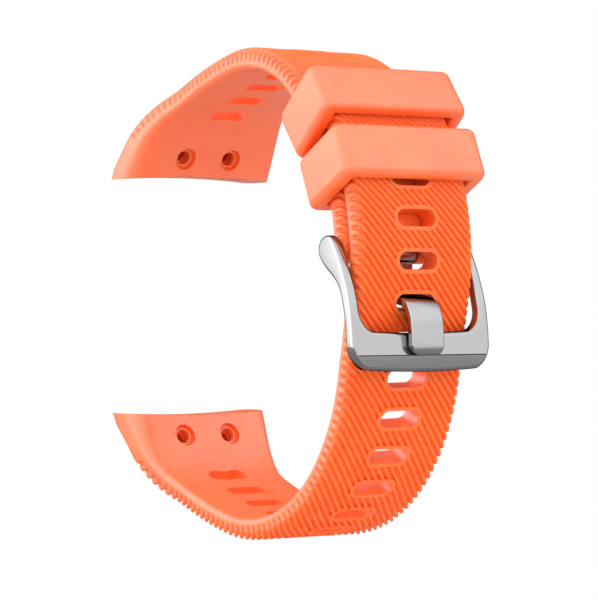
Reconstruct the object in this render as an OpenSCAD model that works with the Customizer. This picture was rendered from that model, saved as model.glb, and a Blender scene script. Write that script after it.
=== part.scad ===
// Closed silicone watch strap with a pin buckle, worn as an upright loop.
// +X points to the buckle, Y runs along the wrist, +Z is up; the origin is on the wrist axis.

/* [Strap] */
// Width of both strap halves
strap_w = 20; // [18:0.5:24]
// Thickness of each strap half
strap_t = 3.2; // [2.8:0.1:3.6]
// Gap between the two halves where one lies on the other
layer_gap = 0.3; // [0.2:0.05:0.6]
// Radius of the arc that both halves share under the keepers
arc_r = 37.8; // [32:0.2:44]
// Angle above the X axis where the tail ends
tail_tip_angle = 41; // [38:0.5:43]

/* [Slots] */
// Length of a slot across the strap
slot_l = 6.6; // [5:0.1:9]
// Width of a slot along the strap
slot_w = 2.5; // [2.4:0.1:3]
// Distance from slot to slot
slot_pitch = 5.4; // [4.8:0.05:5.6]
// Number of slots in the tail
tail_slots = 17; // [8:1:17]
// Number of slots in the buckle half
vent_slots = 5; // [2:1:6]

/* [Lugs] */
// Distance between the end faces of the two lugs
lug_gap = 36; // [30:1:37]
// Thickness of a lug at its end face
lug_t = 6.5; // [6:0.1:7.2]
// How far a lug flares past the strap on each side, at its widest
lug_flare = 3.25; // [1:0.05:4]
// Depth of the socket for the watch lug
socket_d = 6.4; // [5.6:0.1:8]
// Thickness of the socket
socket_t = 1.8; // [1.4:0.1:2]
// Width of the socket
socket_w = 17; // [14:0.5:19]
// Wall between the wrist and the socket
inner_wall = 1.3; // [1.1:0.1:1.5]
// Distance between the two screw holes
screw_pitch = 8.2; // [6:0.1:10]
// Diameter of a screw hole
screw_d = 2.1; // [1.6:0.1:2.4]
// Diameter of the recess for a screw head
head_d = 3.5; // [3.2:0.1:4]
// Depth of the recess for a screw head
head_h = 0.7; // [0.5:0.1:0.9]
// Diameter of a threaded insert
insert_d = 3; // [2.6:0.1:3.4]
// Length of a threaded insert
insert_l = 1.4; // [1.2:0.1:1.6]
// Core diameter of the thread
thread_d = 1.6; // [1.2:0.1:1.8]

/* [Keepers] */
// Length of a keeper along the strap
keeper_l = 7.6; // [5:0.1:7.6]
// Wall of a keeper in front and behind
keeper_wall = 1.9; // [1.4:0.1:2.4]
// Wall of a keeper at each side
keeper_side = 2.3; // [1.2:0.1:2.6]
// Room between a keeper and the strap
keeper_room = 0.3; // [0.2:0.05:0.5]
// Angle of the upper keeper
upper_angle = 36.8; // [36.6:0.1:40]
// Angle of the lower keeper
lower_angle = 23; // [20:0.1:23.2]

/* [Buckle] */
// Room between the strap and each arm
arm_room = 0.4; // [0.3:0.05:0.8]
// Thickness of each arm
arm_t = 1.6; // [1.4:0.1:2]
// Radius of the rounded end of each arm
arm_end_r = 2; // [1.8:0.1:2.2]
// Distance from the spring bar down to the middle of the front bar
frame_l = 14.2; // [13.6:0.1:16]
// Height of the front bar
front_h = 5.4; // [4:0.1:6]
// Thickness of the front bar
front_t = 1.9; // [1.6:0.1:2.4]
// Width of the tongue
tongue_w = 5.6; // [4:0.1:5.7]
// Thickness of the tongue
tongue_t = 1.2; // [1:0.1:1.3]

/* [Spring bar] */
// Diameter of the bar tube
bar_d = 1.8; // [1.6:0.1:2]
// Diameter of the two tips
tip_d = 1; // [0.8:0.1:1.1]
// How far a tip stands out of the tube
tip_out = 1.4; // [1:0.1:1.6]

/* [Hidden] */
$fn = 64;
silicone = "#FF6A2A";
steel = "#B8B8B8";
step = 4; // degrees between the points of an arc

// shared arc under the keepers
arc_x = -11.9;
arc_z = 3;
function on_arc(r, a) = [arc_x + r * cos(a), arc_z + r * sin(a)];

// a leg is [radius, end angle] of the outward normal, or [0, length] for a straight stretch
// a station is [x, z, normal angle, distance]
function arc_leg(p, r, a1) = let(n = max(2, ceil(abs(a1 - p[2]) / step)), sgn = a1 > p[2] ? 1 : -1)
    [for (i = [1:n]) let(a = p[2] + (a1 - p[2]) * i / n)
        [p[0] + r * (cos(a) - cos(p[2])), p[1] + r * (sin(a) - sin(p[2])), a,
         p[3] + sgn * r * (a - p[2]) * PI / 180]];
function straight_leg(p, l, sgn) = [[p[0] - sgn * l * sin(p[2]), p[1] + sgn * l * cos(p[2]), p[2], p[3] + l]];
function leg(p, l, sgn) = l[0] == 0 ? straight_leg(p, l[1], sgn) : arc_leg(p, l[0], l[1]);
function walk(p, legs, sgn, i = 0) = i == len(legs) ? [] :
    let(q = leg(p, legs[i], sgn)) concat(q, walk(q[len(q) - 1], legs, sgn, i + 1));

// tail half: its wrist side, from the tip clockwise to the lower lug
tail_r = arc_r + layer_gap;
tail_start = concat(on_arc(tail_r, tail_tip_angle), [tail_tip_angle, 0]);
lug_angle = 158;
row_depth = 4; // from the mouth of a socket back to its screw row
lug_end = [[0, row_depth], [0, 5]];
tail_legs = concat([[tail_r, 14], [27.2, -11], [0, 12.2], [28.2, -40], [22.8, -102], [74.8, -112.5],
    [11.8, -lug_angle]], lug_end);
tail_line = concat([tail_start], walk(tail_start, tail_legs, -1));

// buckle half: its outer side, from the bar counterclockwise to the upper lug
bend_angle = 12;
top_angle = 48;
boss_r = 1.9;
bend_start = concat(on_arc(arc_r, bend_angle), [bend_angle, 0]);
strap_legs = concat([[arc_r, top_angle], [20, 102], [70.3 + strap_t, 114.5], [12.7 + strap_t, lug_angle]],
    lug_end);
bend_legs = [[14, 0], [0, 1.6]];
bend_line = walk(bend_start, bend_legs, -1);
bar_end = bend_line[len(bend_line) - 1];
strap_line = concat([bend_start], walk(bend_start, strap_legs, 1));
bar_pos = [bar_end[0] - boss_r, bar_end[1]];

// where each lug's screw row sits: the last bend of each line, on the wrist side
function last_bend(line) = line[len(line) - 3];
tail_row = last_bend(tail_line);
strap_row_out = last_bend(strap_line);
strap_row = [strap_row_out[0] - strap_t * cos(lug_angle), strap_row_out[1] - strap_t * sin(lug_angle),
    lug_angle, strap_row_out[3]];

// a lug thickens towards its end
swell_l = 12; // from the start of the swell to the screw row
function limited(u) = min(max(u, 0), 1);
function ease(u) = let(v = limited(u)) v * v * (3 - 2 * v);
function swell(s, row_s) = (lug_t - strap_t)
    * pow(limited((s - row_s + swell_l) / (swell_l + row_depth)), 1.7);
function offset_line(line, d) = [for (p = line) [p[0] + d * cos(p[2]), p[1] + d * sin(p[2])]];
function swollen_line(line, d, row_s) = [for (p = line) let(t = d + swell(p[3], row_s))
    [p[0] + t * cos(p[2]), p[1] + t * sin(p[2])]];
function back(line) = [for (i = [len(line) - 1:-1:0]) line[i]];

// station at a distance along a line
function at(line, s, i = 0) = i >= len(line) - 2 || line[i + 1][3] >= s
    ? let(p = line[i], q = line[i + 1], u = (s - p[3]) / (q[3] - p[3])) p + (q - p) * u
    : at(line, s, i + 1);

// buckle half and tail meet the arms and the tongue here
arm_in = strap_w / 2 + arm_room;
frame_w = 2 * (arm_in + arm_t);
tongue_room = 0.25;
boss_notch = tongue_w + 2 * tongue_room;

// tongue slot: the slot that the tongue passes through
tongue_slot_s = tail_s_at(-0.4);
function tail_s_at(z, i = 1) = tail_line[i][1] < z
    ? let(p = tail_line[i - 1], q = tail_line[i]) p[3] + (q[3] - p[3]) * (z - p[1]) / (q[1] - p[1])
    : tail_s_at(z, i + 1);
slots_above = 5;

module side(points) {
    rotate([90, 0, 0]) linear_extrude(height = 60, center = true) polygon(points);
}

// box with its X axis along the outward normal and its Z axis along the strap
module at_station(p) {
    translate([p[0], 0, p[1]]) rotate([0, -p[2], 0]) children();
}

module slot(p) {
    at_station(p) rotate([0, 90, 0]) linear_extrude(height = 4 * strap_t, center = true)
        long_hole(slot_w, slot_l);
}

module long_hole(w, l) {
    square([w, l - w], center = true);
    for (side = [-1, 1]) translate([0, side * (l - w) / 2]) circle(d = w);
}

module round_rect(w, h, r) {
    square([w - 2 * r, h], center = true);
    square([w, h - 2 * r], center = true);
    for (x = [-1, 1], y = [-1, 1]) translate([x * (w / 2 - r), y * (h / 2 - r)]) circle(r = r);
}

// plan outline of a strap half: parallel, then flared at the lug
flare_start = 17;
flare_l = 13;
function half_w(x) = strap_w / 2 + lug_flare * ease((x - flare_start) / flare_l);
plan_edge = [for (i = [0:10]) let(x = flare_start + 2 * i) [-x, half_w(x)]];
module plan() {
    linear_extrude(height = 120, center = true)
        polygon(concat([[40, strap_w / 2]], plan_edge, [for (p = back(plan_edge)) [p[0], -p[1]]],
            [[40, -strap_w / 2]]));
}

// end face of a lug, slightly hollow to follow the watch
end_sag = 0.5;
module end_cut(up) {
    sag_r = 160;
    translate([-30, 0, up * (lug_gap / 2 - 10)]) cube([30, 60, 20], center = true);
    translate([-30, 0, up * (lug_gap / 2 + end_sag - sag_r)]) rotate([0, 90, 0])
        cylinder(r = sag_r, h = 30, center = true, $fn = 200);
}

// everything that is cut from a lug, in the frame of its screw row
module lug_cuts(row, up) {
    socket_x = inner_wall + socket_t / 2;
    at_station(row) {
        translate([socket_x, 0, up * (10 + row_depth - socket_d)])
            cube([socket_t, socket_w, 20], center = true);
        for (y = [-1, 1]) translate([0, y * screw_pitch / 2, 0]) rotate([0, 90, 0]) {
            translate([0, 0, -2]) cylinder(d = screw_d, h = 2 + inner_wall + socket_t / 2);
            translate([0, 0, -2]) cylinder(d = head_d, h = 2 + head_h);
            translate([0, 0, inner_wall + socket_t / 2])
                cylinder(d = insert_d, h = socket_t / 2 + insert_l);
        }
    }
}

module insert(row, y) {
    color(steel) at_station(row) translate([inner_wall + socket_t, y * screw_pitch / 2, 0])
        rotate([0, 90, 0]) difference() {
            cylinder(d = insert_d, h = insert_l);
            translate([0, 0, -1]) cylinder(d = thread_d, h = insert_l + 2);
        }
}

// each half is split from its lug a little below the screw row
split_back = 8;
module lug_zone(row, up) {
    at_station(row) translate([2, 0, up * (15 - split_back)]) cube([16, 60, 30], center = true);
}

module tail_half() {
    outer = swollen_line(tail_line, strap_t, tail_row[3]);
    difference() {
        intersection() {
            side(concat([for (p = tail_line) [p[0], p[1]]], back(outer)));
            plan();
        }
        end_cut(-1);
        lug_cuts(tail_row, -1);
        for (i = [0:tail_slots - 1]) slot(at(tail_line, tongue_slot_s + (i - slots_above + 1) * slot_pitch));
    }
}

module tail_strap() {
    color(silicone) difference() {
        tail_half();
        lug_zone(tail_row, -1);
    }
}

module lower_lug() {
    color(silicone) intersection() {
        tail_half();
        lug_zone(tail_row, -1);
    }
}

vent_gap = 8.4; // from the screw row to the first vent
notch_h = 6.4; // height of the notch for the tongue
module buckle_half() {
    inner = concat(offset_line(back(bend_line), -strap_t), offset_line(strap_line, -strap_t));
    outer = concat([for (p = back(bend_line)) [p[0], p[1]]], swollen_line(strap_line, 0, strap_row[3]));
    vent_s = strap_row[3] - vent_gap;
    difference() {
        union() {
            intersection() {
                side(concat(outer, back(inner)));
                plan();
            }
            translate([bar_pos[0], 0, bar_pos[1]]) rotate([90, 0, 0])
                cylinder(r = boss_r, h = strap_w, center = true);
        }
        end_cut(1);
        lug_cuts(strap_row, 1);
        for (i = [0:vent_slots - 1]) slot(at(strap_line, vent_s - i * slot_pitch));
        translate([bar_pos[0], 0, bar_pos[1]]) rotate([90, 0, 0])
            cylinder(d = bar_d, h = strap_w + 2, center = true);
        translate([bar_pos[0], 0, bar_pos[1] - 0.2]) cube([12, boss_notch, notch_h], center = true);
    }
}

module buckle_strap() {
    color(silicone) difference() {
        buckle_half();
        lug_zone(strap_row, 1);
    }
}

module upper_lug() {
    color(silicone) intersection() {
        buckle_half();
        lug_zone(strap_row, 1);
    }
}

// keeper: a closed band round both layers, hollowed along the shared arc
stack_in = arc_r - strap_t - keeper_room;
stack_out = tail_r + strap_t + keeper_room;
keeper_w = strap_w + 2 * (keeper_room + keeper_side);
keeper_corner = 1.6;
keeper_lean = 0.12; // the side near the wrist hangs lower
module keeper(angle) {
    depth = stack_out - stack_in + 2 * keeper_wall;
    mid = concat(on_arc((stack_in + stack_out) / 2, angle), [angle]);
    color(silicone) difference() {
        at_station(mid) multmatrix([[1, 0, 0, 0], [0, 1, 0, 0], [keeper_lean, 0, 1, 0]]) intersection() {
            linear_extrude(height = keeper_l, center = true)
                round_rect(depth, keeper_w, keeper_corner);
            rotate([90, 0, 0]) linear_extrude(height = keeper_w, center = true)
                round_rect(depth, keeper_l, keeper_corner / 2);
        }
        translate([arc_x, 0, arc_z]) rotate([90, 0, 0]) difference() {
            cylinder(r = stack_out, h = keeper_w - 2 * keeper_side, center = true, $fn = 180);
            cylinder(r = stack_in, h = keeper_w, center = true, $fn = 180);
        }
    }
}

function bez(p, t) = pow(1 - t, 3) * p[0] + 3 * t * pow(1 - t, 2) * p[1] + 3 * t * t * (1 - t) * p[2]
    + pow(t, 3) * p[3];
function bez_dir(p, t) = let(d = 3 * pow(1 - t, 2) * (p[1] - p[0]) + 6 * t * (1 - t) * (p[2] - p[1])
    + 3 * t * t * (p[3] - p[2])) d / norm(d);
function normal_of(d) = [-d[1], d[0]];
function edge(c, d, h) = [for (i = [0:len(c) - 1]) c[i] + h[i] * normal_of(d[i])];

// frame: two arms that sweep outward and down to a front bar outside the tail
front_z = bar_pos[1] - frame_l;
front_top = front_z + front_h / 2;
front_bottom = front_z - front_h / 2;
front_room = 0.62;
tail_at_front = at(tail_line, tail_s_at(front_top));
front_back_x = tail_at_front[0] + strap_t / cos(tail_at_front[2]) + front_room;
front_x = front_back_x + front_t;
arm_curve = [bar_pos, bar_pos + [2.9, -3.6], [(front_x + front_back_x) / 2, bar_pos[1] - 4.4],
    [(front_x + front_back_x) / 2, front_bottom]];
arm_steps = [for (i = [0:16]) i / 16];
arm_c = [for (t = arm_steps) bez(arm_curve, t)];
arm_d = [for (t = arm_steps) bez_dir(arm_curve, t)];
arm_h = [for (t = arm_steps) front_t / 2 + (arm_end_r - front_t / 2) * (1 - ease(t / 0.55))];
bow = 0.5; // the front bar sags this much in the middle
bow_r = (pow(frame_w / 2, 2) + bow * bow) / (2 * bow);
module sag(z) {
    translate([0, z + bow_r]) circle(r = bow_r, $fn = 360);
}
pivot_room = 0.05;

module across_bar() {
    translate([bar_pos[0], 0, bar_pos[1]]) rotate([90, 0, 0]) children();
}

module front_outline() {
    corner = 3.8;
    tall = bar_pos[1] + arm_end_r + 1 - front_bottom;
    rotate([90, 0, 90]) linear_extrude(height = 80, center = true) intersection() {
        union() {
            translate([0, front_bottom + tall / 2 + corner]) square([frame_w, tall], center = true);
            for (side = [-1, 1]) translate([side * (frame_w / 2 - corner), front_bottom + corner])
                circle(r = corner);
            translate([0, front_bottom + corner])
                square([frame_w - 2 * corner, 2 * corner], center = true);
        }
        sag(front_bottom);
    }
}

module front_opening() {
    corner = 3.2;
    rotate([90, 0, 90]) linear_extrude(height = 80, center = true) intersection() {
        union() {
            translate([0, front_top + corner + 20]) square([2 * arm_in, 40], center = true);
            for (side = [-1, 1]) translate([side * (arm_in - corner), front_top + corner])
                circle(r = corner);
            translate([0, front_top + corner])
                square([2 * (arm_in - corner), 2 * corner], center = true);
        }
        sag(front_top);
    }
}

module buckle_frame() {
    color(steel) difference() {
        intersection() {
            union() {
                rotate([90, 0, 0]) linear_extrude(height = frame_w, center = true)
                    polygon(concat(edge(arm_c, arm_d, arm_h), back(edge(arm_c, arm_d, -arm_h))));
                across_bar() cylinder(r = arm_end_r, h = frame_w, center = true);
            }
            front_outline();
        }
        front_opening();
        across_bar() cylinder(d = tip_d + 2 * pivot_room, h = strap_w + 2 * tip_out + 0.2, center = true);
    }
}

// tongue: a strip from the spring bar through its slot and over the front bar
tongue_lap = 3.1; // how far the tip reaches down the front bar
tongue_front = front_x + tongue_t / 2 + 0.04;
slot_in = at(tail_line, tongue_slot_s);
pass_rise = 0.2; // the tongue runs this far above the middle of its slot
through = [cos(slot_in[2]), sin(slot_in[2])];
pass_in = [slot_in[0], slot_in[1]] + pass_rise * [-through[1], through[0]];
pass_out = pass_in + strap_t * through;
tongue_in = [bar_pos, bar_pos + [-0.2, -4.6], pass_in - 1.4 * through, pass_in];
tongue_out = [pass_out, pass_out + 1.1 * through, [tongue_front, pass_out[1] - 1.5],
    [tongue_front, front_top - 0.4]];
tongue_steps = [for (i = [0:10]) i / 10];
tongue_tip = [tongue_front, front_top - tongue_lap];
tongue_c = concat([for (t = tongue_steps) bez(tongue_in, t)], [for (t = tongue_steps) bez(tongue_out, t)],
    [tongue_tip]);
tongue_d = concat([for (t = tongue_steps) bez_dir(tongue_in, t)],
    [for (t = tongue_steps) bez_dir(tongue_out, t)], [[0, -1]]);
tongue_h = [for (p = tongue_c) tongue_t / 2];
tongue_ring_r = 1.75;

module tongue_outline() {
    corner = 1.4;
    tall = bar_pos[1] + tongue_ring_r - tongue_tip[1];
    rotate([90, 0, 90]) linear_extrude(height = 80, center = true)
        translate([0, tongue_tip[1] + tall / 2]) {
            translate([0, corner / 2]) square([tongue_w, tall - corner], center = true);
            square([tongue_w - 2 * corner, tall], center = true);
            for (side = [-1, 1]) translate([side * (tongue_w / 2 - corner), corner - tall / 2])
                circle(r = corner);
        }
}

module buckle_tongue() {
    color(steel) difference() {
        intersection() {
            union() {
                rotate([90, 0, 0]) linear_extrude(height = tongue_w, center = true)
                    polygon(concat(edge(tongue_c, tongue_d, tongue_h),
                        back(edge(tongue_c, tongue_d, -tongue_h))));
                across_bar() cylinder(r = tongue_ring_r, h = tongue_w, center = true);
            }
            tongue_outline();
        }
        across_bar() cylinder(d = bar_d + 2 * pivot_room, h = tongue_w + 2, center = true);
    }
}

// spring bar: a tube with turned-in ends, two stepped tips and a coil spring between them
tube_bore = bar_d - 0.5;
tube_lip = 0.5;
collar_l = 3;
collar_d = tube_bore - 2 * pivot_room;
spring_l = strap_w - 2 * tube_lip - 2 * collar_l;

module bar_tube() {
    color(steel) across_bar() difference() {
        cylinder(d = bar_d, h = strap_w, center = true);
        cylinder(d = tube_bore, h = strap_w - 2 * tube_lip, center = true);
        cylinder(d = tip_d + 2 * pivot_room, h = strap_w + 2, center = true);
    }
}

module bar_tip(side) {
    color(steel) translate([bar_pos[0], side * strap_w / 2, bar_pos[1]]) rotate([-side * 90, 0, 0])
        rotate_extrude() polygon([[0, -tube_lip - collar_l], [collar_d / 2, -tube_lip - collar_l],
            [collar_d / 2, -tube_lip], [tip_d / 2, -tube_lip], [tip_d / 2, tip_out - 0.2],
            [tip_d / 2 - 0.2, tip_out], [0, tip_out]]);
}

wire_d = 0.18;
coil_r = collar_d / 2 - wire_d / 2 - 0.05;
coils = 14;
coil_sides = 10;
function coil_ring(i) = let(a = i * 360 / coil_sides,
        y = (i / (coils * coil_sides) - 0.5) * (spring_l - wire_d))
    [for (k = [0:5]) let(b = k * 60, r = coil_r + wire_d / 2 * cos(b))
        [r * cos(a), r * sin(a), y + wire_d / 2 * sin(b)]];
module bar_spring() {
    n = coils * coil_sides;
    points = [for (i = [0:n], p = coil_ring(i)) p];
    walls = [for (i = [0:n - 1], k = [0:5]) let(j = (k + 1) % 6)
        [i * 6 + k, i * 6 + j, i * 6 + 6 + j, i * 6 + 6 + k]];
    ends = [[for (k = [5:-1:0]) k], [for (k = [0:5]) n * 6 + k]];
    color(steel) across_bar() polyhedron(points, concat(walls, ends), convexity = 8);
}

buckle_strap();
tail_strap();
upper_lug();
lower_lug();
insert(strap_row, -1);  // upper_insert_left
insert(strap_row, 1);  // upper_insert_right
insert(tail_row, -1);  // lower_insert_left
insert(tail_row, 1);  // lower_insert_right
keeper(upper_angle);  // upper_keeper
keeper(lower_angle);  // lower_keeper
buckle_frame();
buckle_tongue();
bar_tube();
bar_spring();
bar_tip(-1);  // bar_tip_left
bar_tip(1);  // bar_tip_right
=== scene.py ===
import math

import bmesh
import bpy
from mathutils import Matrix, Vector


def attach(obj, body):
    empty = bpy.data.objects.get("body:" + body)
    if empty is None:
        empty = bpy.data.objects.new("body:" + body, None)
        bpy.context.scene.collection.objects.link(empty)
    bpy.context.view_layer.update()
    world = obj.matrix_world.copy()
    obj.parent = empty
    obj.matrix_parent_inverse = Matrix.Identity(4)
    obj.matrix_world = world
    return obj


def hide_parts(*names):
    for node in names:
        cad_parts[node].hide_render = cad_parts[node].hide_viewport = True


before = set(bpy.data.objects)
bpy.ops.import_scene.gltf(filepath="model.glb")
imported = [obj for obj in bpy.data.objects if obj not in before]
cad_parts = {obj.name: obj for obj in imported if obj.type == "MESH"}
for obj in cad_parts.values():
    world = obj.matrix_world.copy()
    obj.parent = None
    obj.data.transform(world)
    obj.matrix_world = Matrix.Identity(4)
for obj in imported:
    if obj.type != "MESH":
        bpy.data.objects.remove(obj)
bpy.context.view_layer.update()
mm = 0.001
print("frame loaded")


def deselectAll():
    if bpy.context.object and bpy.context.object.mode != "OBJECT":
        bpy.ops.object.mode_set(mode="OBJECT")
    bpy.ops.object.select_all(action="DESELECT")


def pick(piece):
    deselectAll()
    piece.select_set(True)
    bpy.context.view_layer.objects.active = piece


def named(name):
    piece = bpy.context.object
    piece.name = piece.data.name = name
    return piece


def applyAll(piece):
    pick(piece)
    for mod in list(piece.modifiers):
        bpy.ops.object.modifier_apply(modifier=mod.name)


def freeze(piece):
    pick(piece)
    bpy.ops.object.transform_apply(location=True, rotation=True, scale=True)


def joined(pieces, name):
    deselectAll()
    for piece in pieces:
        piece.select_set(True)
    bpy.context.view_layer.objects.active = pieces[0]
    if len(pieces) > 1:
        bpy.ops.object.join()
    return named(name)


def cleanNormals(piece):
    pick(piece)
    bpy.ops.object.mode_set(mode="EDIT")
    bpy.ops.mesh.select_all(action="SELECT")
    bpy.ops.mesh.remove_doubles(threshold=0.002 * mm)
    bpy.ops.mesh.normals_make_consistent(inside=False)
    bpy.ops.object.mode_set(mode="OBJECT")


def cut(piece, tool, operation="DIFFERENCE"):
    mod = piece.modifiers.new("cut", "BOOLEAN")
    mod.operation = operation
    mod.object = tool
    mod.solver = "EXACT"
    applyAll(piece)
    bpy.data.objects.remove(tool)


def soften(piece, width, angle=35, segments=3):
    mod = piece.modifiers.new("soft edges", "BEVEL")
    mod.width = width * mm
    mod.segments = segments
    mod.limit_method = "ANGLE"
    mod.angle_limit = math.radians(angle)
    mod.use_clamp_overlap = True
    applyAll(piece)


# rounds every sharp edge but those within a distance of the bar's axis
def softenOutside(piece, width, angle, segments, clear):
    pick(piece)
    bpy.ops.object.mode_set(mode="EDIT")
    bpy.ops.mesh.select_mode(type="EDGE")
    bpy.ops.mesh.select_all(action="DESELECT")
    mesh = bmesh.from_edit_mesh(piece.data)
    for e in mesh.edges:
        middle = (e.verts[0].co + e.verts[1].co) / 2 / mm - bar
        if e.calc_face_angle(0) > math.radians(angle) and math.hypot(middle.x, middle.z) > clear:
            e.select_set(True)
    bmesh.update_edit_mesh(piece.data)
    bpy.ops.mesh.bevel(offset=width * mm, segments=segments, affect="EDGES", clamp_overlap=False)
    bpy.ops.object.mode_set(mode="OBJECT")


def smooth(piece, angle=35):
    pick(piece)
    bpy.ops.object.shade_smooth_by_angle(angle=math.radians(angle))


# the lines that both strap halves follow, seen from the side, in millimetres
loop = {
    "width": 20.0, "thickness": 3.2, "layerGap": 0.3, "endRun": 9.0,
    "arcX": -11.9, "arcZ": 3.0, "arcR": 37.8,      # arc shared under the keepers
    "tipAngle": 41.0, "bendAngle": 12.0, "topAngle": 48.0,
    "bendR": 14.0, "bendUp": 1.6, "bossR": 1.9, "slots": 17, "vents": 5, "ventRow": 11.4, "ribEnd": 1.6,
    "lugGap": 36.0, "lugThickness": 6.5, "lugFlare": 3.25, "swell": 12.0, "rowDepth": 4.0,
    "slotPitch": 5.4, "slotLength": 6.6, "slotWidth": 2.5, "screwPitch": 8.2,
}


def onArc(radius, angle):
    a = math.radians(angle)
    return (loop["arcX"] + radius * math.cos(a), loop["arcZ"] + radius * math.sin(a))


# pieces of a line: arcs as (radius, end angle of the normal), straights as (0, length)
def walk(start, angle, legs, turn):
    parts, (x, z), s = [], start, 0.0
    for radius, value in legs:
        a = math.radians(angle)
        if radius == 0:
            parts.append((s, s + value, x, z, a, 0.0))
            x, z, s = x - turn * value * math.sin(a), z + turn * value * math.cos(a), s + value
        else:
            b = math.radians(value)
            length = radius * abs(b - a)
            parts.append((s, s + length, x, z, a, radius))
            x += radius * (math.cos(b) - math.cos(a))
            z += radius * (math.sin(b) - math.sin(a))
            s, angle = s + length, value
    return {"parts": parts, "turn": turn, "length": s}


def station(line, s):
    part = line["parts"][0]
    for part in line["parts"]:
        if s <= part[1]:
            break
    s0, x, z, a, radius = part[0], *part[2:]
    if radius == 0:
        return (x - line["turn"] * (s - s0) * math.sin(a), z + line["turn"] * (s - s0) * math.cos(a), a)
    b = a + line["turn"] * (s - s0) / radius
    return (x + radius * (math.cos(b) - math.cos(a)), z + radius * (math.sin(b) - math.sin(a)), b)


# how far along the tail it first comes down to a height
def sAtHeight(z):
    return next(k * 0.01 for k in range(12000) if station(tailLine, k * 0.01)[1] < z)


def place(line, s, y, h):
    x, z, a = station(line, s)
    return Vector((x + h * math.cos(a), y, z + h * math.sin(a))) * mm


def rowMatrix(line, s):
    x, z, a = station(line, s)
    return Matrix.Translation(Vector((x, 0, z)) * mm) @ Matrix.Rotation(-a, 4, "Y")


tailR = loop["arcR"] + loop["layerGap"]
tailLine = walk(onArc(tailR, loop["tipAngle"]), loop["tipAngle"],
                [(tailR, 14), (27.2, -11), (0, 12.2), (28.2, -40), (22.8, -102), (74.8, -112.5),
                 (11.8, -158), (0, loop["endRun"])], -1)
thick = loop["thickness"]
bendX, bendZ = onArc(loop["arcR"], loop["bendAngle"])
bendA = math.radians(loop["bendAngle"])
barEnd = (bendX + loop["bendR"] * (1 - math.cos(bendA)),
          bendZ - loop["bendR"] * math.sin(bendA) - loop["bendUp"])
buckleLine = walk(barEnd, 0.0,
                  [(0, loop["bendUp"]), (loop["bendR"], loop["bendAngle"]),
                   (loop["arcR"], loop["topAngle"]), (20, 102),
                   (70.3 + thick, 114.5), (12.7 + thick, 158), (0, loop["endRun"])], 1)
bar = Vector((barEnd[0] - loop["bossR"], 0, barEnd[1]))


def ease(u):
    u = min(max(u, 0.0), 1.0)
    return u * u * (3 - 2 * u)


def halfWidth(x):
    return loop["width"] / 2 + loop["lugFlare"] * ease((-x - 17) / 13)


# how far the strap has thickened into its lug, from 0 to 1
def swelling(s, rowS):
    u = (s - rowS + loop["swell"]) / (loop["swell"] + loop["rowDepth"])
    return min(max(u, 0.0), 1.0) ** 1.7


print("lines laid out: tail %.1f mm, buckle half %.1f mm" % (tailLine["length"], buckleLine["length"]))


ribs = {"pitch": 1.27, "depth": 0.5, "slant": 1.05}
# one rib and one groove: share of the pitch, share of the depth
ribProfile = [(0.0, 0.16), (0.08, 0.0), (0.40, 0.0), (0.48, 0.16),
              (0.56, 0.85), (0.64, 1.0), (0.84, 1.0), (0.92, 0.85)]


# one ring of the strap: (kind, share) round the section, starting at the wrist side's middle
def sectionPoints():
    ring = [("base", u) for u in (0.0, 0.45, 0.85)]
    ring += [("inner", u) for u in (0.0, 0.2, 0.4, 0.6, 0.8, 1.0)]
    ring += [("wall", u) for u in (0.9, 0.6, 0.3)]
    ring += [("outer", u) for u in (0.0, 0.25, 0.5, 0.75, 1.0)]
    ring += [("top", u) for u in (0.9, 0.78, 0.62, 0.45, 0.3, 0.15)]
    mirrored = [(kind, u, -1) for kind, u in reversed(ring) if (kind, u) != ("base", 0.0)]
    return [(kind, u, 1) for kind, u in ring] + [("top", 0.0, 1)] + mirrored


# (y, h) on one side of the section, and how much of a groove is left there
def sectionPlace(kind, u, half, low, high, innerR, outerR):
    if kind == "base":
        return u * (half - innerR), low, 0.0
    if kind == "inner":
        a = u * math.pi / 2
        return half - innerR + innerR * math.sin(a), low + innerR * (1 - math.cos(a)), 0.0
    if kind == "wall":
        return half, high - outerR - u, ease(1.0 - u / 0.9)
    if kind == "outer":
        a = u * math.pi / 2
        return half - outerR + outerR * math.cos(a), high - outerR + outerR * math.sin(a), 1.0
    return u * (half - outerR), high, 1.0


# sweeps the section along its line in slanted rings, so that each ring lies along a rib
def strapBody(name, line, low, high, rowS, sFrom, sTo, ribFrom, ribTo, slant, plainTo=-50):
    ring = sectionPoints()
    pitch = ribs["pitch"]
    half = loop["width"] / 2
    first, last = sFrom - abs(slant) * half, sTo + abs(slant) * half
    count = int((last - first) / pitch)
    rings = [(first + (k + u) * pitch, d) for k in range(count) for u, d in ribProfile]
    bpy.ops.mesh.primitive_grid_add(x_subdivisions=len(ring), y_subdivisions=len(rings) - 1, size=1)
    piece = named(name)
    verts = piece.data.vertices
    row = len(ring) + 1
    for j, (s0, groove) in enumerate(rings):
        for i in range(row):
            kind, u, side = ring[i % len(ring)]
            flatY = sectionPlace(kind, u, half, low, high, 0.8, 1.2)[0] * side
            s = s0 + slant * flatY
            lug = swelling(s, rowS)
            top = high + (loop["lugThickness"] - loop["thickness"]) * lug - 0.07
            x = station(line, s)[0]
            wide = halfWidth(x)
            y, h, share = sectionPlace(kind, u, wide, low, top, 0.8 + 2.1 * lug, 1.2 + 0.4 * lug)
            if share:
                fade = ease((s - ribFrom) / 1.0) * ease((ribTo - s) / 1.5)
                if kind == "top" and u < 0.5 and s < plainTo:
                    fade = 0.0
                dip = ribs["depth"] * groove * share * fade
                if kind == "wall":
                    y -= dip
                elif kind == "outer":
                    a = u * math.pi / 2
                    y, h = y - dip * math.cos(a), h - dip * math.sin(a)
                else:
                    h -= dip
            verts[j * row + i].co = place(line, s, y * side, h)
    return piece


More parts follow.
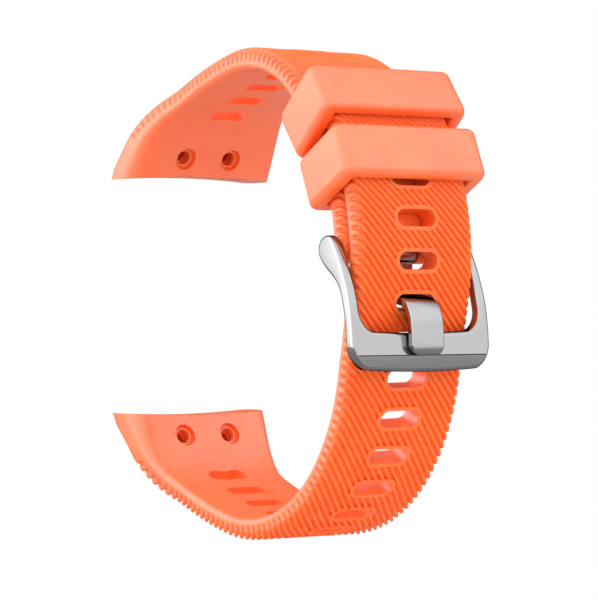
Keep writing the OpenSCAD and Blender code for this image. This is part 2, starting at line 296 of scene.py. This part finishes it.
def closeEnds(piece):
    pick(piece)
    bpy.ops.object.mode_set(mode="EDIT")
    bpy.ops.mesh.select_all(action="SELECT")
    bpy.ops.mesh.remove_doubles(threshold=0.002 * mm)
    bpy.ops.mesh.select_all(action="DESELECT")
    bpy.ops.mesh.select_mode(type="EDGE")
    bpy.ops.mesh.select_non_manifold(extend=False, use_wire=False, use_multi_face=False,
                                     use_non_contiguous=False, use_verts=False)
    bpy.ops.mesh.fill_holes(sides=0)
    bpy.ops.mesh.select_all(action="SELECT")
    bpy.ops.mesh.normals_make_consistent(inside=False)
    bpy.ops.object.mode_set(mode="OBJECT")


# an oblong block, long in Y, standing on Z
def prism(name, length, width, depth, sides=32):
    bpy.ops.mesh.primitive_cylinder_add(vertices=sides, radius=width / 2 * mm, depth=depth * mm,
                                        rotation=(0, 0, math.pi / sides))
    tool = named(name)
    freeze(tool)
    for v in tool.data.vertices:
        v.co.y += math.copysign((length - width) / 2 * mm, v.co.y)
    return tool


def block(name, size, centre):
    bpy.ops.mesh.primitive_cube_add(size=1)
    tool = named(name)
    for v in tool.data.vertices:
        v.co = Vector((v.co[k] * size[k] + centre[k] for k in range(3))) * mm
    return tool


def rod(name, radius, low, high, sides=48):
    bpy.ops.mesh.primitive_cylinder_add(vertices=sides, radius=radius * mm, depth=(high - low) * mm,
                                        location=(0, 0, (low + high) / 2 * mm))
    tool = named(name)
    freeze(tool)
    return tool


def put(tool, matrix):
    tool.data.transform(matrix)
    return tool


outward = Matrix.Rotation(math.pi / 2, 4, "Y")     # turns Z to the outward normal
acrossBar = Matrix.Rotation(math.pi / 2, 4, "X")


def slotRims(line, places, high):
    rims = []
    for s in places:
        rim = prism("rim", loop["slotLength"] + 1.1, loop["slotWidth"] + 1.1, 0.9, 40)
        put(rim, rowMatrix(line, s) @ outward @ Matrix.Translation((0, 0, (high - 0.54) * mm)))
        rims.append(rim)
    return joined(rims, "rims")


def slotTools(line, places):
    tools = []
    for s in places:
        tool = prism("slot", loop["slotLength"], loop["slotWidth"], 9, 40)
        tools.append(put(tool, rowMatrix(line, s) @ outward))
    return tools


lugParts = {"innerWall": 1.3, "socketT": 1.8, "socketW": 17, "screwD": 2.1, "headD": 3.5, "headH": 0.7,
            "insertD": 3.0, "insertL": 1.4, "lipR": 1.3, "lipH": 0.2, "endSag": 0.5, "sagR": 160}


def lugTools(row, up):
    p = lugParts
    mid = p["innerWall"] + p["socketT"] / 2
    tools = [put(block("socket", (p["socketT"], p["socketW"], 20), (mid, 0, up * 7.6)), row)]
    for side in (-1, 1):
        here = row @ Matrix.Translation((0, side * loop["screwPitch"] / 2 * mm, 0)) @ outward
        tools.append(put(rod("hole", p["screwD"] / 2, -3, mid), here))
        tools.append(put(rod("head", p["headD"] / 2, -3.1, p["headH"]), here))
        tools.append(put(rod("pocket", p["insertD"] / 2, mid, mid + p["socketT"] / 2 + p["insertL"]), here))
    return tools


# a low moulded ring round each screw hole, on the floor of its recess
def screwLips(row):
    lips = []
    for side in (-1, 1):
        bpy.ops.mesh.primitive_torus_add(major_segments=48, minor_segments=12,
                                         major_radius=lugParts["lipR"] * mm,
                                         minor_radius=lugParts["lipH"] * mm)
        here = row @ Matrix.Translation((0, side * loop["screwPitch"] / 2 * mm, 0)) @ outward
        lips.append(put(named("lip"), here @ Matrix.Translation((0, 0, lugParts["headH"] * mm))))
    return lips


def endTools(up):
    p = lugParts
    flat = block("end", (40, 60, 20), (-35, 0, up * (loop["lugGap"] / 2 - 10)))
    hollow = rod("hollow", p["sagR"], -15, 15, 720)
    deep = up * (loop["lugGap"] / 2 + p["endSag"] - p["sagR"])
    put(hollow, Matrix.Translation((-30 * mm, 0, deep * mm)) @ outward)
    return [flat, hollow]


# one boolean for each tool in turn
def cutAll(piece, tools):
    for tool in tools:
        cut(piece, tool)


# tail half
tongueS = sAtHeight(-0.4)
tailRow = tailLine["length"] - loop["endRun"]
tailSlots = [tongueS + (i - 4) * loop["slotPitch"] for i in range(loop["slots"])]
tail = strapBody("tailStrap", tailLine, 0.0, thick, tailRow, -2.0, tailLine["length"] + 1,
                 -50, tailRow - loop["ribEnd"], ribs["slant"])
closeEnds(tail)
cut(tail, slotRims(tailLine, tailSlots, thick), "UNION")
tipTool = put(block("tip", (20, 40, 30), (0, 0, 15)), rowMatrix(tailLine, 0))
lowTools = lugTools(rowMatrix(tailLine, tailRow), -1)
cut(tail, joined(slotTools(tailLine, tailSlots) + [tipTool, lowTools[0]], "tailTools"))
cutAll(tail, endTools(-1) + lowTools[1:])
joined([tail] + screwLips(rowMatrix(tailLine, tailRow)), "tailStrap")
cleanNormals(tail)
smooth(tail, 38)
print("tail strap: %d faces" % len(tail.data.polygons))

# buckle half
buckleRow = buckleLine["length"] - loop["endRun"]
vents = [buckleRow - loop["ventRow"] - i * loop["slotPitch"] for i in range(loop["vents"])]
strap = strapBody("buckleStrap", buckleLine, -thick, 0.0, buckleRow, 0.6, buckleLine["length"] + 1, 1.5,
                   buckleRow - loop["ribEnd"], -ribs["slant"], 23.0)
closeEnds(strap)
cut(strap, block("belowBar", (30, 40, 40), (bar.x, 0, bar.z - 20)))
boss = put(rod("boss", loop["bossR"] - 0.01, -10, 10, 64), Matrix.Translation(bar * mm) @ acrossBar)
soften(boss, 0.5, 60, 4)
cut(strap, boss, "UNION")
cut(strap, slotRims(buckleLine, vents, 0.0), "UNION")
barHole = put(rod("barHole", 0.9, -11, 11, 48), Matrix.Translation(bar * mm) @ acrossBar)
notch = block("notch", (12, 6.1, 6.4), (bar.x, 0, bar.z - 0.2))
innerRow = rowMatrix(buckleLine, buckleRow) @ Matrix.Translation((-thick * mm, 0, 0))
highTools = lugTools(innerRow, 1)
cut(strap, joined(slotTools(buckleLine, vents) + [notch, highTools[0]], "strapTools"))
cutAll(strap, [barHole] + endTools(1) + highTools[1:])
joined([strap] + screwLips(innerRow), "buckleStrap")
cleanNormals(strap)
smooth(strap, 38)
print("buckle strap: %d faces" % len(strap.data.polygons))


keeperSize = {"length": 7.6, "width": 25.2, "wall": 1.9, "side": 2.3, "room": 0.3, "lean": 0.12,
              "corner": 1.9, "edge": 1.0, "mouthEdge": 0.6, "upper": 36.8, "lower": 23.0}


def keeper(name, angle):
    k = keeperSize
    inside = loop["arcR"] - thick - k["room"]
    outside = tailR + thick + k["room"]
    depth = outside - inside + 2 * k["wall"]
    piece = block(name, (depth, k["width"], k["length"]), (0, 0, 0))
    pick(piece)
    bpy.ops.object.mode_set(mode="EDIT")
    mesh = bmesh.from_edit_mesh(piece.data)
    for e in mesh.edges:
        e.select = abs(e.verts[0].co.z - e.verts[1].co.z) > mm      # the four long corners
    bmesh.update_edit_mesh(piece.data)
    bpy.ops.mesh.bevel(offset=k["corner"] * mm, segments=8, affect="EDGES")
    bpy.ops.object.mode_set(mode="OBJECT")
    soften(piece, k["edge"], 50, 6)
    hole = block("mouth", (outside - inside, k["width"] - 2 * k["side"], 20), (0, 0, 0))
    pick(hole)
    bpy.ops.object.mode_set(mode="EDIT")
    mesh = bmesh.from_edit_mesh(hole.data)
    for e in mesh.edges:
        e.select = abs(e.verts[0].co.z - e.verts[1].co.z) > mm
    bmesh.update_edit_mesh(hole.data)
    bpy.ops.mesh.bevel(offset=0.25 * mm, segments=3, affect="EDGES")
    bpy.ops.object.mode_set(mode="OBJECT")
    cut(piece, hole)
    soften(piece, k["mouthEdge"], 70, 3)
    x, z = onArc((inside + outside) / 2, angle)
    lean = Matrix.Identity(4)
    lean[2][0] = k["lean"]
    turn = Matrix.Rotation(-math.radians(angle), 4, "Y")
    put(piece, Matrix.Translation(Vector((x, 0, z)) * mm) @ turn @ lean)
    cleanNormals(piece)
    smooth(piece, 40)
    return piece


upperKeeper = keeper("upperKeeper", keeperSize["upper"])
lowerKeeper = keeper("lowerKeeper", keeperSize["lower"])
print("keepers made")


# a filled outline, drawn as points (across, up) and pushed out to its width along X or Y
def slab(name, outline, width, axis):
    bpy.ops.mesh.primitive_circle_add(vertices=len(outline), radius=1, fill_type="NGON")
    piece = named(name)
    for v, (a, b) in zip(piece.data.vertices, outline):
        v.co = Vector((a, -width / 2, b) if axis == "Y" else (-width / 2, a, b)) * mm
    pick(piece)
    bpy.ops.object.mode_set(mode="EDIT")
    bpy.ops.mesh.select_all(action="SELECT")
    push = (0, width * mm, 0) if axis == "Y" else (width * mm, 0, 0)
    bpy.ops.mesh.extrude_region_move(TRANSFORM_OT_translate={"value": push})
    bpy.ops.mesh.select_all(action="SELECT")
    bpy.ops.mesh.normals_make_consistent(inside=False)
    bpy.ops.object.mode_set(mode="OBJECT")
    return piece


def bezier(p, t):
    q = 1 - t
    return p[0] * q ** 3 + p[1] * 3 * t * q * q + p[2] * 3 * t * t * q + p[3] * t ** 3


def bezierTurn(p, t):
    q = 1 - t
    d = (p[1] - p[0]) * 3 * q * q + (p[2] - p[1]) * 6 * t * q + (p[3] - p[2]) * 3 * t * t
    return d.normalized()


def arcPoints(centre, radius, a0, a1, n):
    return [(centre[0] + radius * math.cos(math.radians(a0 + (a1 - a0) * i / n)),
             centre[1] + radius * math.sin(math.radians(a0 + (a1 - a0) * i / n))) for i in range(n + 1)]


frameSize = {"width": 24.0, "opening": 20.8, "endR": 2.0, "length": 14.2, "frontT": 1.9, "frontH": 5.4,
             "frontRoom": 0.62, "cornerOut": 3.8, "cornerIn": 3.2, "bow": 0.5, "edge": 0.55, "pinR": 0.55,
             "steps": 26}
frontTop = bar.z - frameSize["length"] + frameSize["frontH"] / 2
frontLow = frontTop - frameSize["frontH"]
atFront = station(tailLine, sAtHeight(frontTop))
frontBack = atFront[0] + thick / math.cos(atFront[2]) + frameSize["frontRoom"]
frontX = frontBack + frameSize["frontT"]
frontMid = (frontX + frontBack) / 2
bowR = ((frameSize["width"] / 2) ** 2 + frameSize["bow"] ** 2) / (2 * frameSize["bow"])


# outline of a band of changing thickness along a curve of (place, direction)
def stripOutline(line, halves):
    left, right = [], []
    for (c, d), h in zip(line, halves):
        left.append((c.x - d.y * h, c.y + d.x * h))
        right.append((c.x + d.y * h, c.y - d.x * h))
    return left + right[::-1]


# an outline with two round lower corners and a sagging lower edge, in Y and Z
def uShape(halfW, low, high, corner):
    points = [(halfW, high), (-halfW, high)]
    points += arcPoints((-halfW + corner, low + corner), corner, 180, 270, 14)
    points += [(-halfW + corner + (2 * halfW - 2 * corner) * i / 24, low) for i in range(1, 24)]
    points += arcPoints((halfW - corner, low + corner), corner, 270, 360, 14)
    sagged = [(y, low + bowR - math.sqrt(bowR ** 2 - y * y)) for y, z in points]
    return [(y, max(z, lowest[1])) for (y, z), lowest in zip(points, sagged)]


# an outline in Y and Z pushed out along X, centred on x
def slabAt(name, outline, width, x):
    piece = slab(name, outline, width, "X")
    return put(piece, Matrix.Translation((x * mm, 0, 0)))


steps = [i / frameSize["steps"] for i in range(frameSize["steps"] + 1)]
barXZ = Vector((bar.x, bar.z))
armCurve = [barXZ, barXZ + Vector((2.9, -3.6)), Vector((frontMid, bar.z - 4.4)),
            Vector((frontMid, frontLow - 0.6))]
armSteps = steps[:-2] + steps[-1:]     # no strip at the low edge is narrower than its rounding
armLine = [(bezier(armCurve, t), bezierTurn(armCurve, t)) for t in armSteps]
frontHalf = frameSize["frontT"] / 2
armHalf = [frontHalf + (frameSize["endR"] - frontHalf) * (1 - ease(t / 0.55)) for t in armSteps]
armOutline = stripOutline(armLine, armHalf)
d = armLine[0][1]
back = math.degrees(math.atan2(-d.x, d.y))
armOutline += arcPoints(barXZ, frameSize["endR"], back, back - 180, 24)[1:-1]
buckle = slab("buckle", armOutline, frameSize["width"] + 2, "Y")
outer = uShape(frameSize["width"] / 2, frontLow, 20, frameSize["cornerOut"])
inner = uShape(frameSize["opening"] / 2, frontTop, 30, frameSize["cornerIn"])
cut(buckle, slabAt("outline", outer, 40, 25), "INTERSECT")
cut(buckle, slabAt("opening", inner, 40, 25))
cleanNormals(buckle)
cut(buckle, put(rod("pinHole", frameSize["pinR"], -11.5, 11.5, 32), Matrix.Translation(bar * mm) @ acrossBar))
softenOutside(buckle, frameSize["edge"], 40, 5, frameSize["pinR"] + 0.2)
cleanNormals(buckle)
smooth(buckle, 30)
print("buckle frame: %d faces" % len(buckle.data.polygons))

tongueSize = {"width": 5.6, "thickness": 1.2, "rise": 0.2, "lap": 3.1, "corner": 1.4,
              "ringR": 1.75, "holeR": 0.95, "edge": 0.3}
tongueX = frontX + tongueSize["thickness"] / 2 + 0.04
slotX, slotZ, slotA = station(tailLine, tongueS)
through = Vector((math.cos(slotA), math.sin(slotA)))
passIn = Vector((slotX, slotZ)) + Vector((-through.y, through.x)) * tongueSize["rise"]
passOut = passIn + through * thick
inside = [barXZ, barXZ + Vector((-0.2, -4.6)), passIn - through * 1.4, passIn]
outside = [passOut, passOut + through * 1.1, Vector((tongueX, passOut.y - 1.5)),
           Vector((tongueX, frontTop - 0.4))]
tongueTip = frontTop - tongueSize["lap"]
tongueLine = [(bezier(inside, t), bezierTurn(inside, t)) for t in steps]
tongueLine += [(bezier(outside, t), bezierTurn(outside, t)) for t in steps]
tongueLine += [(Vector((tongueX, tongueTip - 0.5)), Vector((0, -1)))]
pin = slab("tongue", stripOutline(tongueLine, [tongueSize["thickness"] / 2] * len(tongueLine)), 8, "Y")
atBar = Matrix.Translation(bar * mm) @ acrossBar
cut(pin, put(rod("ring", tongueSize["ringR"], -4, 4, 64), atBar), "UNION")
tipHalf, tipR = tongueSize["width"] / 2, tongueSize["corner"]
tipOutline = [(tipHalf, 20), (-tipHalf, 20)]
tipOutline += arcPoints((-tipHalf + tipR, tongueTip + tipR), tipR, 180, 270, 12)
tipOutline += arcPoints((tipHalf - tipR, tongueTip + tipR), tipR, 270, 360, 12)
cut(pin, slabAt("tipOutline", tipOutline, 40, 25), "INTERSECT")
cleanNormals(pin)
cut(pin, put(rod("barHole", tongueSize["holeR"], -5, 5, 48), atBar))
softenOutside(pin, tongueSize["edge"], 40, 3, tongueSize["holeR"] + 0.2)
cleanNormals(pin)
smooth(pin, 30)
print("tongue: %d faces" % len(pin.data.polygons))


# a colour code such as FF6A2A, as the linear colour that a shader takes
def srgb(code):
    parts = [int(code[i:i + 2], 16) / 255 for i in (0, 2, 4)]
    return [c / 12.92 if c <= 0.04045 else ((c + 0.055) / 1.055) ** 2.4 for c in parts] + [1.0]


# a node, with the values of its sockets or settings
def add(tree, kind, **values):
    n = tree.nodes.new(kind)
    for key, value in values.items():
        name = key.replace("_", " ")
        if name in n.inputs:
            n.inputs[name].default_value = value
        else:
            setattr(n, key, value)
    return n


def newMaterial(name):
    material = bpy.data.materials.new(name)
    material.use_nodes = True
    tree = material.node_tree
    tree.nodes.clear()
    out = add(tree, "ShaderNodeOutputMaterial")
    shader = add(tree, "ShaderNodeBsdfPrincipled")
    tree.links.new(shader.outputs[0], out.inputs[0])
    place = add(tree, "ShaderNodeTexCoord").outputs["Object"]
    return material, tree, shader, place


# a noise whose grains are about sizeMm across, stretched along the axes
def noise(tree, place, sizeMm, stretch=(1, 1, 1), detail=3.0):
    scaled = add(tree, "ShaderNodeMapping", Scale=[1 / (sizeMm * mm * k) for k in stretch])
    tree.links.new(place, scaled.inputs["Vector"])
    n = add(tree, "ShaderNodeTexNoise", Scale=1.0, Detail=detail, Roughness=0.55)
    tree.links.new(scaled.outputs[0], n.inputs["Vector"])
    return n.outputs["Fac"]


# turns a grey into colours or values; stops are (place, colour)
def ramp(tree, source, stops):
    n = add(tree, "ShaderNodeValToRGB")
    elements = n.color_ramp.elements
    while len(elements) < len(stops):
        elements.new(0.5)
    for element, (at, colour) in zip(elements, stops):
        element.position = at
        element.color = colour if len(colour) == 4 else [colour[0]] * 3 + [1]
    tree.links.new(source, n.inputs[0])
    return n.outputs[0]


# lays several bumps over each other; sources are (height, depth in mm, strength)
def bumps(tree, shader, sources):
    last = None
    for height, depth, strength in sources:
        n = add(tree, "ShaderNodeBump", Strength=strength, Distance=depth * mm)
        tree.links.new(height, n.inputs["Height"])
        if last:
            tree.links.new(last, n.inputs["Normal"])
        last = n.outputs[0]
    tree.links.new(last, shader.inputs["Normal"])


silicone = {"deep": "FF671A", "main": "FF6D20", "pale": "FF7428", "roughLow": 0.44, "roughHigh": 0.56,
            "coat": 1.0, "coatIor": 1.9, "coatRough": 0.42, "through": 0.3, "reach": (2.0, 0.5, 0.1)}


# moulded orange silicone rubber: matt, with a fine orange-peel skin and faint clouding
def siliconeMaterial(name, ribbedCoat):
    material, tree, shader, place = newMaterial(name)
    cloud = noise(tree, place, 5.0)
    tone = ramp(tree, cloud, [(0.3, srgb(silicone["deep"])), (0.5, srgb(silicone["main"])),
                              (0.72, srgb(silicone["pale"]))])
    tree.links.new(tone, shader.inputs["Base Color"])
    rough = ramp(tree, noise(tree, place, 1.6), [(0.35, [silicone["roughLow"]]),
                                                 (0.65, [silicone["roughHigh"]])])
    tree.links.new(rough, shader.inputs["Roughness"])
    shader.inputs["Subsurface Weight"].default_value = silicone["through"]
    shader.inputs["Subsurface Radius"].default_value = silicone["reach"]
    shader.inputs["Subsurface Scale"].default_value = mm
    flatPlace = add(tree, "ShaderNodeVectorMath", operation="MULTIPLY")
    flatPlace.inputs[1].default_value = (1, 0, 1)
    tree.links.new(place, flatPlace.inputs[0])
    away = add(tree, "ShaderNodeVectorMath", operation="NORMALIZE")
    tree.links.new(flatPlace.outputs[0], away.inputs[0])
    facing = add(tree, "ShaderNodeVectorMath", operation="DOT_PRODUCT")
    tree.links.new(away.outputs[0], facing.inputs[0])
    tree.links.new(place.node.outputs["Normal"], facing.inputs[1])
    coat = ramp(tree, facing.outputs["Value"], [(0.1, [silicone["coat"]]), (0.4, [ribbedCoat])])
    tree.links.new(coat, shader.inputs["Coat Weight"])
    shader.inputs["Coat IOR"].default_value = silicone["coatIor"]
    shader.inputs["Coat Roughness"].default_value = silicone["coatRough"]
    bumps(tree, shader, [(noise(tree, place, 0.35, detail=4.0), 0.02, 0.35),
                         (noise(tree, place, 0.08), 0.006, 0.3)])
    return material


# edge: how dark the steel's colour and reflections are painted where its surface turns away from the camera,
# a painted shade for the dark reflections along its rounded edges
steelLook = {"tone": "ACACAE", "toneDark": "A5A5A7", "edge": 0.1, "roughLow": 0.14, "roughHigh": 0.2,
             "brush": 0.05}


# satin stainless steel, brushed across the buckle, with painted shade darkening its colour and reflections
# where the surface turns away from the camera
def brushedMaterial():
    material, tree, shader, place = newMaterial("brushedSteel")
    lines = noise(tree, place, steelLook["brush"], (1, 60, 1), 4.0)
    tone = ramp(tree, lines, [(0.25, srgb(steelLook["toneDark"])), (0.75, srgb(steelLook["tone"]))])
    # painted shade: colour and reflection tint darkened by how far the surface turns from the camera, drawing
    # dark outlines along the edges
    slope = add(tree, "ShaderNodeLayerWeight", Blend=0.5).outputs["Facing"]
    paintedEdgeShade = ramp(tree, slope, [(0.0, [1.0]), (0.47, [1.0]), (0.68, [steelLook["edge"]])])
    toneWithPaintedEdgeShade = add(tree, "ShaderNodeVectorMath", operation="MULTIPLY")
    tree.links.new(tone, toneWithPaintedEdgeShade.inputs[0])
    tree.links.new(paintedEdgeShade, toneWithPaintedEdgeShade.inputs[1])
    tree.links.new(toneWithPaintedEdgeShade.outputs[0], shader.inputs["Base Color"])
    tree.links.new(paintedEdgeShade, shader.inputs["Specular Tint"])
    rough = ramp(tree, noise(tree, place, 0.3, (1, 12, 1)), [(0.3, [steelLook["roughLow"]]),
                                                             (0.7, [steelLook["roughHigh"]])])
    tree.links.new(rough, shader.inputs["Roughness"])
    shader.inputs["Metallic"].default_value = 1.0
    shader.inputs["Anisotropic"].default_value = 0.35
    bumps(tree, shader, [(lines, 0.001, 0.15)])
    return material


# drawn or turned metal with faint tool marks round it
def metalMaterial(name, dark, light, low, high, grainMm):
    material, tree, shader, place = newMaterial(name)
    marks = noise(tree, place, grainMm, (8, 1, 8), 4.0)
    tree.links.new(ramp(tree, marks, [(0.3, srgb(dark)), (0.7, srgb(light))]), shader.inputs["Base Color"])
    tree.links.new(ramp(tree, marks, [(0.3, [low]), (0.7, [high])]), shader.inputs["Roughness"])
    shader.inputs["Metallic"].default_value = 1.0
    bumps(tree, shader, [(marks, 0.002, 0.3)])
    return material


ribbed = siliconeMaterial("ribbedSilicone", 0.12)
plain = siliconeMaterial("plainSilicone", 1.0)
satin = brushedMaterial()
polished = metalMaterial("polishedSteel", "B9B9BB", "DADADA", 0.12, 0.22, 0.06)
wire = metalMaterial("springWire", "8E9094", "B8BABE", 0.2, 0.34, 0.05)
brass = metalMaterial("turnedBrass", "B08A3C", "D8B566", 0.18, 0.32, 0.06)


def dress(piece, material):
    piece.data.materials.clear()
    piece.data.materials.append(material)
    for face in piece.data.polygons:
        face.material_index = 0


# hangs a finished piece on its body in place of its CAD nodes
def stands(piece, body, nodes, material):
    dress(piece, material)
    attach(piece, body)
    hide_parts(*nodes)


stands(tail, "strap", ["tail_strap", "lower_lug"], ribbed)
stands(strap, "strap", ["buckle_strap", "upper_lug"], ribbed)
stands(upperKeeper, "upper_band", ["upper_keeper"], plain)
stands(lowerKeeper, "lower_band", ["lower_keeper"], plain)
stands(buckle, "frame", ["buckle_frame"], satin)
stands(pin, "tongue", ["buckle_tongue"], satin)
for name, finish in (("bar_tube", polished), ("bar_tip_left", polished), ("bar_tip_right", polished),
                     ("bar_spring", wire), ("upper_insert_left", brass), ("upper_insert_right", brass),
                     ("lower_insert_left", brass), ("lower_insert_right", brass)):
    dress(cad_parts[name], finish)
print("finishes laid on")


studio = {"floorZ": -0.0366, "floorGrey": "8A8A8A",
          # brightness of the surroundings: height (0 straight down, 0.5 level, 1 straight up) and strength
          "sky": [(0.0, 0.03), (0.25, 0.05), (0.36, 0.9), (0.5, 1.5), (0.6, 1.4), (0.7, 1.6),
                  (0.85, 1.6), (1.0, 1.1)],
          "behind": 0.05, "side": 1.15, "fill": 1.3,
          "lights": [
              # name, place, size, watts, height of the point it looks at
              ("key", (0.05, -0.75, 0.10), 0.7, 0.4, 0.0),
              ("top", (0.10, 0.05, 0.80), 0.7, 0.3, 0.0)]}


# one shader for mirrored light, one for soft light and one for what the camera sees straight on
def byRay(tree, mirrored, soft, seen):
    path = add(tree, "ShaderNodeLightPath")
    last = mirrored
    for kind, other in (("Is Diffuse Ray", soft), ("Is Camera Ray", seen)):
        mix = add(tree, "ShaderNodeMixShader")
        tree.links.new(path.outputs[kind], mix.inputs[0])
        tree.links.new(last.outputs[0], mix.inputs[1])
        tree.links.new(other.outputs[0], mix.inputs[2])
        last = mix
    return last.outputs[0]


def mathNode(tree, operation, a, b):
    n = add(tree, "ShaderNodeMath", operation=operation)
    for socket, value in zip(n.inputs, (a, b)):
        if isinstance(value, (int, float)):
            socket.default_value = value
        else:
            tree.links.new(value, socket)
    return n.outputs[0]


bpy.ops.mesh.primitive_plane_add(size=0.6, location=(0, 0, studio["floorZ"]))
floor = named("floor")
floorMaterial, tree, shader = newMaterial("paleFloor")[:3]
shader.inputs["Base Color"].default_value = srgb(studio["floorGrey"])
shader.inputs["Roughness"].default_value = 0.8
glow = add(tree, "ShaderNodeEmission", Color=(1, 1, 1, 1), Strength=1.0)
fill = add(tree, "ShaderNodeEmission", Color=(1, 1, 1, 1), Strength=studio["fill"])
out = next(n for n in tree.nodes if n.type == "OUTPUT_MATERIAL")
tree.links.new(byRay(tree, shader, fill, glow), out.inputs[0])
dress(floor, floorMaterial)

for name, at, size, watts, aim in studio["lights"]:
    bpy.ops.object.light_add(type="AREA", location=at)
    lamp = bpy.context.object
    lamp.name = name
    lamp.data.shape = "SQUARE"
    lamp.data.size = size
    lamp.data.energy = watts
    turn = Vector((at[0], at[1], at[2] - aim)).to_track_quat("Z", "Y")
    lamp.rotation_euler = turn.to_euler()
    lamp.visible_camera = False

world = bpy.data.worlds.new("studio")
bpy.context.scene.world = world
world.use_nodes = True
tree = world.node_tree
tree.nodes.clear()
out = add(tree, "ShaderNodeOutputWorld")
around = add(tree, "ShaderNodeTexCoord").outputs["Generated"]
split = add(tree, "ShaderNodeSeparateXYZ")
tree.links.new(around, split.inputs[0])
height = mathNode(tree, "MULTIPLY_ADD", split.outputs["Z"], 0.5)
height.node.inputs[2].default_value = 0.5
sky = ramp(tree, height, [(at, [value / 2.5]) for at, value in studio["sky"]])
away = add(tree, "ShaderNodeVectorMath", operation="DOT_PRODUCT")
tree.links.new(around, away.inputs[0])
away.inputs[1].default_value = (-0.82, 0.57, 0.0)
dim = ramp(tree, away.outputs["Value"], [(0.1, [1.0]), (0.65, [studio["behind"]])])
left = add(tree, "ShaderNodeVectorMath", operation="DOT_PRODUCT")
tree.links.new(around, left.inputs[0])
left.inputs[1].default_value = (-0.75, -0.65, 0.1)
lobe = ramp(tree, left.outputs["Value"], [(0.35, [0.0]), (0.8, [studio["side"] / 2.5])])
total = mathNode(tree, "ADD", mathNode(tree, "MULTIPLY", sky, dim), lobe)
grey = add(tree, "ShaderNodeBackground", Color=(1, 1, 1, 1))
tree.links.new(mathNode(tree, "MULTIPLY", total, 2.5), grey.inputs["Strength"])
white = add(tree, "ShaderNodeBackground", Color=(1, 1, 1, 1), Strength=1.0)
soft = add(tree, "ShaderNodeBackground", Color=(1, 1, 1, 1), Strength=studio["fill"])
tree.links.new(byRay(tree, grey, soft, white), out.inputs[0])

bpy.context.scene.view_settings.view_transform = "Standard"
bpy.context.scene.view_settings.look = "None"

bpy.ops.object.camera_add(location=(0.3383, -0.2369, -0.0006), rotation=(math.pi / 2, 0, math.radians(55)))
camera = bpy.context.object
camera.data.lens = 168
camera.data.sensor_width = 36
camera.data.clip_start = 0.01
camera.data.clip_end = 20
bpy.context.scene.camera = camera

print("scene ready")
